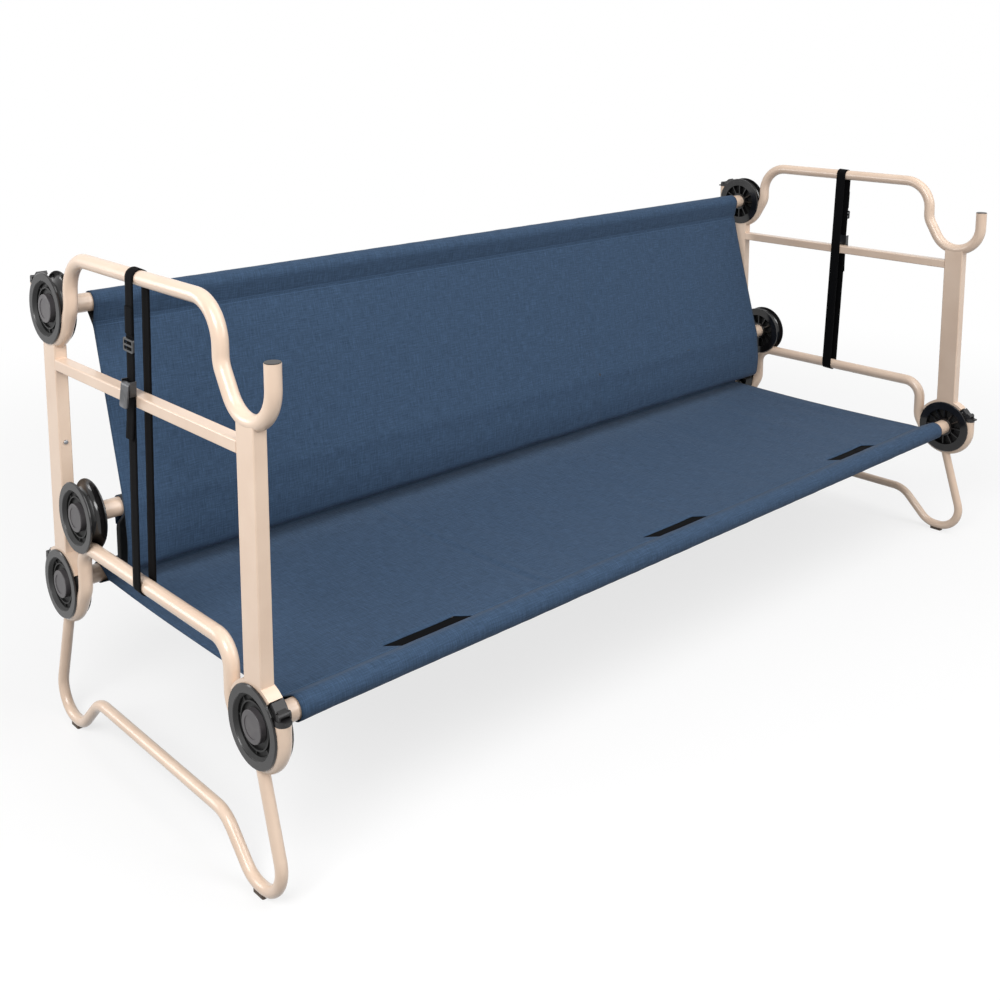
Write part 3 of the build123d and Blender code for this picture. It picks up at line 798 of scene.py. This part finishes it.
@dataclass
class Deck:
    """What the two cloth decks share: one sheet sewn into a sleeve round each of two rails."""

    half_length: float = 0.974
    thickness: float = 0.0016
    sleeve_gap: float = 0.0012
    seam_reach: float = 0.042
    seam_gap: float = 0.0004
    seam_dent: float = 0.0013
    seam_width: float = 0.0022
    stitch_aside: float = 0.004
    arc_steps: int = 18
    hidden_steps: int = 3
    seam_steps: int = 5
    pitch: float = 0.008
    flat: Point = (0.0, 0.0)

    @property
    def sleeve_radius(self) -> float:
        """Radius of a sleeve's cloth, at the middle of its thickness."""
        return LAYOUT.rail_radius + self.sleeve_gap + self.thickness / 2

    @property
    def spread(self) -> float:
        """Degrees from a sleeve's seam to where its cloth meets the round."""
        return math.degrees(math.acos(self.sleeve_radius / self.seam_reach))

    def seam(self, centre: Point, direction: float, aside: float = 0.0) -> Point:
        """A sleeve's seam.

        Args:
            centre: the rail's place.
            direction: degrees from the rail to the seam.
            aside: how far the point lies off that line.

        Returns:
            The seam's place.
        """
        turn = math.radians(direction)
        return (
            centre[0] + self.seam_reach * math.cos(turn) - aside * math.sin(turn),
            centre[1] + self.seam_reach * math.sin(turn) + aside * math.cos(turn),
        )

    def sleeve(self, centre: Point, direction: float, way: int) -> list[Point]:
        """Cloth round a rail, from the seam's hidden side back to the seam.

        Args:
            centre: the rail's place.
            direction: degrees from the rail to the seam.
            way: 1 to go round anticlockwise, -1 clockwise.

        Returns:
            The line of points.
        """
        start = direction + way * self.spread
        stop = direction + way * (360 - self.spread)
        round_rail = arc(centre, self.sleeve_radius, start, stop, self.arc_steps)
        hidden = self.seam(centre, direction, way * (self.thickness + self.seam_gap))
        made = [hidden, *run(hidden, round_rail[0], self.hidden_steps), *round_rail[1:]]
        return made + run(made[-1], self.seam(centre, direction), self.seam_steps)

    def cloth(self, name: str, seams: Sequence[float]) -> WovenPolyester:
        """The deck's cloth, with a sewn row on both sides of each seam.

        Args:
            name: the finish's name.
            seams: distance along the profile of each seam.

        Returns:
            The finish.
        """
        rows = tuple(s + e * self.stitch_aside for s in seams for e in (-1, 1))
        return WovenPolyester(name=name, stitch_rows=rows)


@dataclass
class SeatDeck(Deck):
    """The seat: sleeves round both seat rails, a taut panel, three slots at the front seam."""

    sag: float = 0.012
    edge_sag: float = 0.004
    slot_length: float = 0.160
    slot_skew: float = 0.030
    slot_pitch: float = 0.668
    slot_shift: float = 0.003
    slot_front: float = -0.2822
    slot_back: float = -0.2588
    slot_drop: float = 0.0005
    inner_rows: int = 44
    ripples: tuple[Ripple, ...] = (
        Ripple(2.6, 1.6, 2.3, 3.1), Ripple(1.2, 17, 2.2, 7.7), Ripple(0.45, 42, 5.0, 1.3)
    )
    fold: tuple[Crease, ...] = (
        Crease(-2.6, -0.385, 0.006, 0.010, 5, 2.0), Crease(1.2, -0.372, 0.009, 0.010, 5, 2.0)
    )
    hint: Crease = Crease(-0.6, 0.36, 0.006, 0.008, 4, 9.0)
    puckers: tuple[Point, ...] = (
        (-0.372, 1.0), (-0.19, 0.4), (0.43, 0.9), (0.81, 0.5), (-0.86, 0.6)
    )
    pucker_depth: float = 0.0022

    def slots(self) -> list[float]:
        """Middles of the slots."""
        return [self.slot_shift + k * self.slot_pitch for k in (-1, 0, 1)]

    def panel_z(self, x: float, y: float) -> float:
        """Height of the panel's middle surface at x and y: the hems stay tighter."""
        span = LAYOUT.rail_y - self.seam_reach
        share = min(abs(y) / span, 1.0)
        sag = self.sag + (self.edge_sag - self.sag) * min(abs(x) / self.half_length, 1.0) ** 3
        return LAYOUT.seat_z - sag * (1 - share**2)

    def profile(self) -> list[Point]:
        """The cloth's line from the front seam's hidden side to the back seam's."""
        front = self.sleeve(RAIL_PLACES["seat_front"], 0.0, -1)
        back = [(-y, z) for y, z in front][::-1]
        start = -(LAYOUT.rail_y - self.seam_reach)
        marks = [start, self.slot_front, self.slot_back]
        inner, rest = self.inner_rows, -start - self.slot_back
        marks += [self.slot_back + rest * k / inner for k in range(1, inner)]
        return front + [(y, self.panel_z(0.0, y)) for y in marks[1:]] + back

    def build(self) -> Piece:
        """The seat's cloth."""
        points = self.profile()
        along = lengths(points)
        normals = row_normals(points, 1.0)
        front_edge = next(k for k, point in enumerate(points) if point[0] == self.slot_front)
        front_seam = front_edge - 1
        back_seam = len(points) - 1 - front_seam
        seams = (along[front_seam], along[back_seam])
        ends = [m + e * self.slot_length / 2 for m in self.slots() for e in (-1, 1)]
        columns = columns_between(self.half_length, self.pitch, [*ends, self.fold[0].x])

        def bend(x: float, y: float, s: float) -> float:
            """How far the cloth stands off its smooth line at x, y and s."""
            inside = step_up(LAYOUT.rail_y - self.seam_reach - abs(y), -0.005, 0.03)
            broad, middle, fine = self.ripples
            made = broad.at(x, y) * inside + middle.at(x, y) * (0.35 + 0.65 * inside)
            made += fine.at(x, y)
            strength = 0.6 + 0.4 * step_up(-y, -0.1, 0.25)
            made += sum(crease.at(x, y) for crease in self.fold) * strength * inside
            made += self.hint.at(x, y) * inside
            for seam in seams:
                made -= self.seam_dent * hump(s, seam, self.seam_width)
                beside = hump(s, seam - 0.006, 0.004)
                for pucker, size in self.puckers:
                    made -= self.pucker_depth * size * hump(x, pucker, 0.018) * beside
            return made

        def skew(x: float, y: float) -> float:
            """Slant of the slots' ends at x and y."""
            share = (self.slot_back - y) / (self.slot_back - self.slot_front) - 0.5
            share = min(max(share, -0.5), 0.5) * hump(y, -0.272, 0.03)
            return sum(self.slot_skew * share * hump(x, end, 0.045) for end in ends)

        def place(row: int, column: int) -> Vector:
            """Where the point of row and column goes."""
            y, z = points[row]
            x = columns[column]
            out = bend(x, y, along[row])
            if row == front_edge + 1:
                out -= self.slot_drop * max(
                    step_up(self.slot_length / 2 - abs(x - m), -0.01, 0.03) for m in self.slots()
                )
            z += self.panel_z(x, y) - self.panel_z(0.0, y)
            return Vector((x + skew(x, y), y + out * normals[row][0], z + out * normals[row][1]))

        def keep(row: int, column: int) -> bool:
            """Whether the face at row and column lies outside the slots."""
            middle = (columns[column] + columns[column + 1]) / 2
            inside = any(abs(middle - m) < self.slot_length / 2 for m in self.slots())
            return not (inside and row == front_edge)

        shape = cloth_grid(
            len(points), len(columns), place, lambda r, c: (columns[c], along[r]), keep
        )
        self.flat = (2 * self.half_length, along[-1])
        finishes = [self.cloth("navy_polyester_seat", seams), CLOTH_BACK]
        piece = new_piece("seat_cloth", shape, finishes)
        thicken(piece, self.thickness, back=1)
        return piece

    def dress(self, piece: Piece) -> None:
        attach(piece, ROOT)
        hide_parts("seat_deck")


@dataclass
class SlotWebbing:
    """Black webbing sewn under the seat's slots."""

    width: float = 0.025
    length: float = 0.226
    thickness: float = 0.0012
    drop: float = 0.0022
    rows: int = 5
    columns: int = 25
    bow: Ripple = Ripple(0.5, 30, 50, 5.0)

    def build(self, seat: SeatDeck) -> Piece:
        """One strip under each slot."""
        middle = (seat.slot_front + seat.slot_back) / 2
        shape = bmesh.new()
        shape.loops.layers.uv.new("weave")
        for slot in seat.slots():

            def spot(row: int, column: int) -> Point:
                """The point's place on the strip."""
                return (self.width * row / (self.rows - 1),
                        self.length * column / (self.columns - 1))

            def place(row: int, column: int, slot: float = slot) -> Vector:
                """Where the point of row and column goes."""
                across, along = spot(row, column)
                y = middle + across - self.width / 2
                x = slot + along - self.length / 2
                return Vector((x, y, seat.panel_z(x, y) - self.drop + self.bow.at(x, y)))

            add_part(shape, cloth_grid(self.rows, self.columns, place, spot))
        piece = new_piece("slot_webbing", shape, [WEBBING])
        thicken(piece, self.thickness)
        return piece

    def dress(self, piece: Piece) -> None:
        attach(piece, ROOT)
        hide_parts("seat_webbing")


@dataclass
class BackrestDeck(Deck):
    """The backrest: hung from the top rail, past the low rail's front, turned up to it behind."""

    shift: float = 0.009
    front: float = 0.22375
    flap_lean: float = 19.0
    cut: float = 0.566
    belly: float = 0.006
    belly_reach: float = 0.045
    panel_rows: int = 30
    fold_rows: int = 12
    turn_rows: int = 14
    flap_rows: int = 8
    ripples: tuple[Ripple, ...] = (
        Ripple(3.0, 1.3, 2.0, 5.5), Ripple(1.8, 11, 1.8, 2.2), Ripple(0.4, 40, 4.0, 6.1)
    )
    creases: tuple[Crease, ...] = (
        Crease(-1.6, 0.31, 0.006, 0.01, 4, 1.0), Crease(-1.4, -0.34, 0.006, 0.01, 4, 8.0)
    )

    def build(self) -> Piece:
        """The backrest's cloth."""
        top, low = RAIL_PLACES["backrest_top"], RAIL_PLACES["backrest_low"]
        knee = (self.front, low[1])
        hang = math.degrees(math.atan2(knee[1] - top[1], knee[0] - top[0]))
        upper = self.sleeve(top, hang, 1)
        seam = upper[-1]
        flap = self.flap_lean - 90
        lower = self.sleeve(low, flap, 1)
        tip = self.seam(low, flap)
        fold = (tip[0] - self.front) / 2
        spare = self.cut - math.dist(seam, knee) - math.pi * fold
        fold_z = (knee[1] + tip[1] - spare) / 2
        down = run(seam, knee, self.panel_rows)
        down += run(knee, (self.front, fold_z), self.fold_rows)
        turn = arc((self.front + fold, fold_z), fold, 180, 360, self.turn_rows)[1:]
        up = run(turn[-1], tip, self.flap_rows)
        points = upper + down + turn + up + lower[::-1][1:]
        along = lengths(points)
        normals = row_normals(points, -1.0)
        top_seam = along[len(upper) - 1]
        low_seam = along[len(upper) + len(down) + len(turn) + len(up) - 1]
        fold_s = along[len(upper) + len(down) + len(turn) // 2]
        knee_s = along[len(upper) + self.panel_rows - 1]
        columns = columns_between(self.half_length, self.pitch)

        def bend(x: float, s: float) -> float:
            """How far the cloth stands off its smooth line at x and s."""
            free = step_up(s, top_seam, top_seam + 0.06)
            free *= 1 - step_up(s, low_seam - 0.02, low_seam)
            *broad, fine = self.ripples
            made = sum(form.at(x, s) for form in (*broad, *self.creases)) * free + fine.at(x, s)
            made += self.belly * hump(s, (knee_s + fold_s) / 2, self.belly_reach)
            dents = hump(s, top_seam, self.seam_width) + hump(s, low_seam, self.seam_width)
            return made - self.seam_dent * dents

        def place(row: int, column: int) -> Vector:
            """Where the point of row and column goes."""
            y, z = points[row]
            x = columns[column]
            out = bend(x, along[row])
            return Vector((x + self.shift, y + out * normals[row][0], z + out * normals[row][1]))

        shape = cloth_grid(len(points), len(columns), place, lambda r, c: (columns[c], along[r]))
        bmesh.ops.reverse_faces(shape, faces=shape.faces[:])
        self.flat = (2 * self.half_length, along[-1])
        finishes = [self.cloth("navy_polyester_backrest", (top_seam, low_seam)), CLOTH_BACK]
        piece = new_piece("backrest_cloth", shape, finishes)
        thicken(piece, self.thickness, back=1)
        return piece

    def dress(self, piece: Piece) -> None:
        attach(piece, ROOT)
        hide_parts("backrest_deck")


# Straps


@dataclass
class EndStrap:
    """Webbing loop over the top bar and the lower bar of one end, with a loose tail."""

    end: End
    width: float = 0.025
    thickness: float = 0.0015
    slack: float = 0.0008
    top_y: float = -0.001
    foot_y: float = 0.020
    tail_top_z: float = 0.7235
    tail_length: float = 0.086
    tail_curl: float = 0.0035
    tail_steps: int = 14
    lap_length: float = 0.045
    lap_top_z: float = 0.858
    lap_gap: float = 0.0002
    lap_steps: int = 8
    bend_steps: int = 16
    run_steps: int = 40
    across: int = 5
    length: float = 0.0

    def stand(self, point: Vector) -> Vector:
        """Carries a point drawn upright to the strap's lean."""
        drop = LAYOUT.top_bar_z - LAYOUT.low_bar_z
        lean = math.atan2(self.foot_y - self.top_y, drop)
        pivot = Vector((0, self.top_y, LAYOUT.top_bar_z))
        turned = Matrix.Rotation(lean, 3, "X") @ (point - Vector((0, 0, LAYOUT.top_bar_z)))
        return turned + pivot

    def loop_points(self) -> list[Point]:
        """The closed loop as (x, z) round the end plane."""
        radius = LAYOUT.bar_radius + self.slack + self.thickness / 2
        high = LAYOUT.top_bar_z
        drop = math.hypot(high - LAYOUT.low_bar_z, self.foot_y - self.top_y)
        low = high - drop
        over = arc((0.0, high), radius, 0, 180, self.bend_steps)
        under = arc((0.0, low), radius, 180, 360, self.bend_steps)
        inner = run(over[-1], under[0], self.run_steps)
        outer = run(under[-1], over[0], self.run_steps)
        return over + inner + under[1:] + outer

    def strip(self, shape: BMesh, points: Sequence[Point]) -> None:
        """Adds a run of webbing.

        Args:
            shape: the bmesh that gets it.
            points: its line as (x outwards, z).
        """
        along = lengths(points)
        uneven = Ripple(0.25, 30, 20, self.end.value * 3.0)

        def place(row: int, column: int) -> Vector:
            """Where the point of row and column goes."""
            x, z = points[row]
            y = self.width * (column / (self.across - 1) - 0.5)
            out = self.end.value * (LAYOUT.end_x + x + uneven.at(z, y))
            return self.stand(Vector((out, y, z)))

        def spot(row: int, column: int) -> Point:
            """The point's place on the strip."""
            return (self.width * column / (self.across - 1), along[row])

        add_part(shape, cloth_grid(len(points), self.across, place, spot))

    def build(self) -> Piece:
        """The strap with its tail and sewn lap."""
        shape = bmesh.new()
        shape.loops.layers.uv.new("weave")
        loop = self.loop_points()
        self.strip(shape, loop)
        bmesh.ops.remove_doubles(shape, verts=shape.verts[:], dist=0.05 * MM)
        face = loop[0][0] + self.thickness + self.lap_gap
        shares = [k / self.tail_steps for k in range(self.tail_steps + 1)]
        self.strip(shape, [
            (face + self.tail_curl * k**2, self.tail_top_z - self.tail_length * k) for k in shares
        ])
        lap_top, lap_low = (face, self.lap_top_z), (face, self.lap_top_z - self.lap_length)
        self.strip(shape, [lap_top, *run(lap_top, lap_low, self.lap_steps)])
        self.length = lengths(loop)[-1] + self.tail_length + self.lap_length
        piece = new_piece(f"end_strap_{self.end.word}", shape, [WEBBING])
        thicken(piece, self.thickness)
        return piece

    def dress(self, piece: Piece) -> None:
        word = self.end.word
        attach(piece, ROOT)
        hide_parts(f"strap_{word}")


@dataclass
class TipPlugs:
    """Black plugs pressed into the open front tips of the two upper frames."""

    place_y: float = -0.3855
    top_z: float = 0.840
    bore_radius: float = 0.0109
    flange_radius: float = 0.0123
    flange: float = 0.0014
    depth: float = 0.012
    rounding: float = 0.0005
    rounding_steps: int = 3
    sides: int = 48

    def build(self) -> Piece:
        """A stub and a rounded flange at each end's tip."""
        shape = bmesh.new()
        for end in End:
            foot = Vector((end.value * LAYOUT.end_x, self.place_y, self.top_z))
            for radius, low, high in (
                (self.bore_radius, -self.depth, 0.0), (self.flange_radius, 0.0, self.flange)
            ):
                middle = foot + Vector((0, 0, (low + high) / 2))
                bmesh.ops.create_cone(
                    shape, cap_ends=True, segments=self.sides, radius1=radius, radius2=radius,
                    depth=high - low, matrix=Matrix.Translation(middle),
                )
        bmesh.ops.recalc_face_normals(shape, faces=shape.faces[:])
        piece = new_piece("tip_plugs", shape, [CLIP_NYLON], smooth=False)
        rim = piece.modifiers.new("rounded", "BEVEL")
        rim.width = self.rounding
        rim.segments = self.rounding_steps
        rim.limit_method = "ANGLE"
        return piece

    def dress(self, piece: Piece) -> None:
        """Lets the plugs stand with the end frames."""
        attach(piece, ROOT)


# Hard parts


@dataclass
class HardParts:
    """The CAD nodes that stay as they are and get a better finish."""

    finishes: tuple[tuple[Finish, tuple[str, ...]], ...] = (
        (POWDER_COAT, ("lower_frame", "upper_frame", "leg_hoop", "lower_post", "upper_post",
                       "post_saddles", "crossbar", "_rail")),
        (RUBBER, ("foot_pads",)),
        (ZINC, ("post_spigots", "button_springs", "snap_button", "_hub_bolts")),
        (CLIP_NYLON, ("clip_sockets", "safety_clip")),
        (CAP_ABS, ("_hub_caps",)),
        (BLACK_STEEL, ("buckle_bodies", "strap_sliders")),
        (LEVER_ALLOY, ("buckle_lever",)),
        *((finish, (f"{rail}_discs",)) for rail, finish in DISC_NYLON.items()),
    )

    def finish_of(self, node: str) -> Finish | None:
        """The finish for a CAD node, by a word in its name."""
        for finish, words in self.finishes:
            if any(word in node for word in words):
                return finish
        return None

    def dress(self) -> None:
        """Gives every shown CAD node its finish."""
        for name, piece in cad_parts.items():
            finish = self.finish_of(name)
            if finish is None:
                LOG.info("%s waits for its own piece", name)
                continue
            piece.data.materials.clear()
            piece.data.materials.append(finish.material())
            LOG.info("%s gets %s", name, finish.name)


# Studio


@dataclass(frozen=True)
class Lamp:
    """A soft square lamp: where it hangs, its side in metres and its power in watts."""

    name: str
    spot: Spot
    size: float
    power: float


@dataclass
class Studio:
    """Floor, lights, world and the camera at the photograph's place."""

    eye: Spot = (-1.9432, -1.7936, 1.2854)
    yaw: float = 0.7354
    pitch: float = -0.1534
    roll: float = -0.0037
    focal_px: float = 1245.5
    centre_px: Point = (469.9, 225.0)
    frame_px: float = 1000.0
    sensor: float = 36.0
    clip: Point = (0.05, 100.0)
    floor_half: float = 14.0
    ambient: float = 0.34
    floor_bounce: float = 0.20
    floor_seen: float = 0.86
    floor_glow: float = 0.72
    floor_fade: Point = (1.3, 3.2)
    aim: Spot = (0.0, 0.0, 0.5)
    lamps: tuple[Lamp, ...] = (
        Lamp("key", (-2.9, -1.4, 2.5), 1.6, 86),
        Lamp("rim", (-3.0, 2.2, 1.3), 1.4, 34),
        Lamp("top", (0.6, -1.6, 3.7), 2.8, 60),
        Lamp("fill", (1.4, -3.3, 2.3), 2.0, 50),
    )

    def camera(self) -> None:
        """Sets the camera at the photograph's viewing angle."""
        data = bpy.data.cameras.new("camera")
        data.sensor_width = self.sensor
        data.lens = self.focal_px * self.sensor / self.frame_px
        data.shift_x = 0.5 - self.centre_px[0] / self.frame_px
        data.shift_y = self.centre_px[1] / self.frame_px - 0.5
        data.clip_start, data.clip_end = self.clip
        level = math.cos(self.pitch)
        ahead = Vector(
            (math.sin(self.yaw) * level, math.cos(self.yaw) * level, math.sin(self.pitch))
        )
        right = Vector((math.cos(self.yaw), -math.sin(self.yaw), 0.0))
        up = right.cross(ahead)
        turned = right * math.cos(self.roll) + up * math.sin(self.roll)
        upright = up * math.cos(self.roll) - right * math.sin(self.roll)
        camera = show("camera", data)
        axes = Matrix((turned, upright, -ahead)).transposed()
        camera.matrix_world = Matrix.Translation(self.eye) @ axes.to_4x4()
        bpy.context.scene.camera = camera

    def hang(self, lamp: Lamp) -> None:
        """Hangs a lamp that points at the cot's middle."""
        data = bpy.data.lights.new(lamp.name, "AREA")
        data.shape = "SQUARE"
        data.size = lamp.size
        data.energy = lamp.power
        made = show(lamp.name, data)
        made.location = lamp.spot
        way = Vector(self.aim) - Vector(lamp.spot)
        made.rotation_euler = way.to_track_quat("-Z", "Y").to_euler()

    def seen_directly(self, tree: Tree) -> Socket:
        """1 for camera, glossy and transmission rays, 0 for the rest."""
        path = add_node(tree, "LightPath")
        seen = path["Is Camera Ray"]
        for ray in ("Is Glossy Ray", "Is Transmission Ray"):
            seen = add_node(tree, "Math", {0: seen, 1: path[ray]}, operation="MAXIMUM")[0]
        return seen

    def world(self) -> None:
        """White where it is seen, a softer fill where it lights."""
        world = bpy.data.worlds.new("studio")
        world.use_nodes = True
        tree = world.node_tree
        tree.nodes.clear()
        seen = self.seen_directly(tree)
        strength = add_node(tree, "MapRange", {"Value": seen, "To Min": self.ambient})["Result"]
        glow = add_node(tree, "Background", {"Color": (1, 1, 1, 1), "Strength": strength})[0]
        add_node(tree, "OutputWorld", {"Surface": glow})
        bpy.context.scene.world = world

    def floor(self) -> None:
        """Pale floor that keeps the shadow near the cot and turns white further out."""
        shape = bmesh.new()
        bmesh.ops.create_grid(shape, x_segments=2, y_segments=2, size=self.floor_half)
        floor = new_piece("floor", shape, [], smooth=False)
        paint = bpy.data.materials.new("studio_floor")
        paint.use_nodes = True
        tree = paint.node_tree
        tree.nodes.clear()
        place = add_node(tree, "TexCoord")["Object"]
        far = add_node(tree, "VectorMath", {0: place}, operation="LENGTH")["Value"]
        near, wide = self.floor_fade
        fade = add_node(tree, "MapRange", {
            "Value": far, "From Min": near, "From Max": wide, "To Min": self.floor_glow,
        }, interpolation_type="SMOOTHSTEP")["Result"]
        seen = self.seen_directly(tree)
        share = add_node(tree, "Math", {0: fade, 1: seen}, operation="MULTIPLY")[0]
        tone = add_node(tree, "MapRange", {
            "Value": seen, "To Min": self.floor_bounce, "To Max": self.floor_seen,
        })["Result"]
        matt = add_node(tree, "BsdfDiffuse", {"Color": tone})[0]
        white = add_node(tree, "Emission", {"Color": (1, 1, 1, 1), "Strength": 1.0})[0]
        both = add_node(tree, "MixShader", {0: share, 1: matt, 2: white})[0]
        add_node(tree, "OutputMaterial", {"Surface": both})
        floor.data.materials.append(paint)

    def build(self) -> None:
        """Builds the whole studio."""
        scene = bpy.context.scene
        scene.view_settings.view_transform = "Standard"
        self.camera()
        self.world()
        self.floor()
        for lamp in self.lamps:
            self.hang(lamp)


def main() -> None:
    """Builds the cot's pieces round the frame and reports them."""
    logging.basicConfig(level=logging.INFO, format="%(name)s: %(message)s")
    Studio().build()
    HardParts().dress()
    seat = SeatDeck()
    seat.dress(seat.build())
    LOG.info("seat cloth cut to %.3f by %.3f m", *seat.flat)
    webbing = SlotWebbing()
    webbing.dress(webbing.build(seat))
    backrest = BackrestDeck()
    backrest.dress(backrest.build())
    LOG.info("backrest cloth cut to %.3f by %.3f m", *backrest.flat)
    for end in End:
        strap = EndStrap(end)
        strap.dress(strap.build())
        LOG.info("%s strap is %.3f m long", end.word, strap.length)
    plugs = TipPlugs()
    plugs.dress(plugs.build())
    LOG.info("two tip plugs pressed in")


if __name__ == "__main__":
    main()
